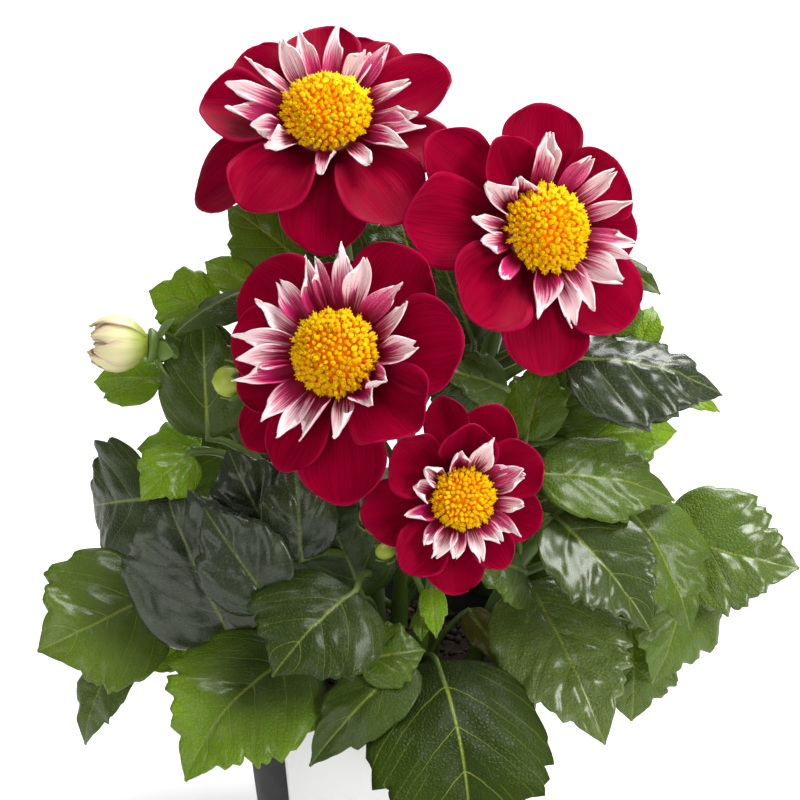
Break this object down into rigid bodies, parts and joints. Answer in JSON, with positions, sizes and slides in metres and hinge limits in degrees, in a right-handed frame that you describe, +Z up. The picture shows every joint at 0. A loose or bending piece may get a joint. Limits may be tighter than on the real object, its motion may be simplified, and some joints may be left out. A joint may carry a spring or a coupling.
{
  "type": "potted dahlia",
  "caption": "Collarette dahlia with crimson blooms, a cream bud and toothed leaves, growing in a round nursery pot of soil.",
  "frame": {"origin": "middle of the pot's underside", "axes": "+Z up along the pot's axis, -Y towards the side that carries the label, +X to the right seen from there"},
  "size_m": [0.3003, 0.223, 0.354],
  "materials": {
    "pot_plastic": "matte charcoal moulded plastic",
    "potting_soil": "damp crumbly peat and bark",
    "label_card": "bare smooth white card",
    "leaf_green": "satin leaf with sunk veins",
    "petal_crimson": "velvety petal with fine lengthwise veins",
    "petal_pink_white": "soft streaked petal, white at the tip and magenta at the foot",
    "disc_yellow": "dense tubular florets",
    "petal_cream": "soft cream petal with pink edges"
  },
  "bodies": {
    "root": {"pot": "pot_plastic", "soil": "potting_soil", "label": "label_card", "stem_1": "leaf_green", "stem_2": "leaf_green", "stem_3": "leaf_green", "stem_4": "leaf_green", "stem_left": "leaf_green", "stem_right": "leaf_green", "stem_back": "leaf_green", "bloom_1_rays": "petal_crimson", "bloom_1_collar": "petal_pink_white", "bloom_1_disc": "disc_yellow", "bloom_2_rays": "petal_crimson", "bloom_2_collar": "petal_pink_white", "bloom_2_disc": "disc_yellow", "bloom_3_rays": "petal_crimson", "bloom_3_collar": "petal_pink_white", "bloom_3_disc": "disc_yellow", "bloom_4_rays": "petal_crimson", "bloom_4_collar": "petal_pink_white", "bloom_4_disc": "disc_yellow", "cream_bud": "petal_cream"}
  },
  "joints": []
}
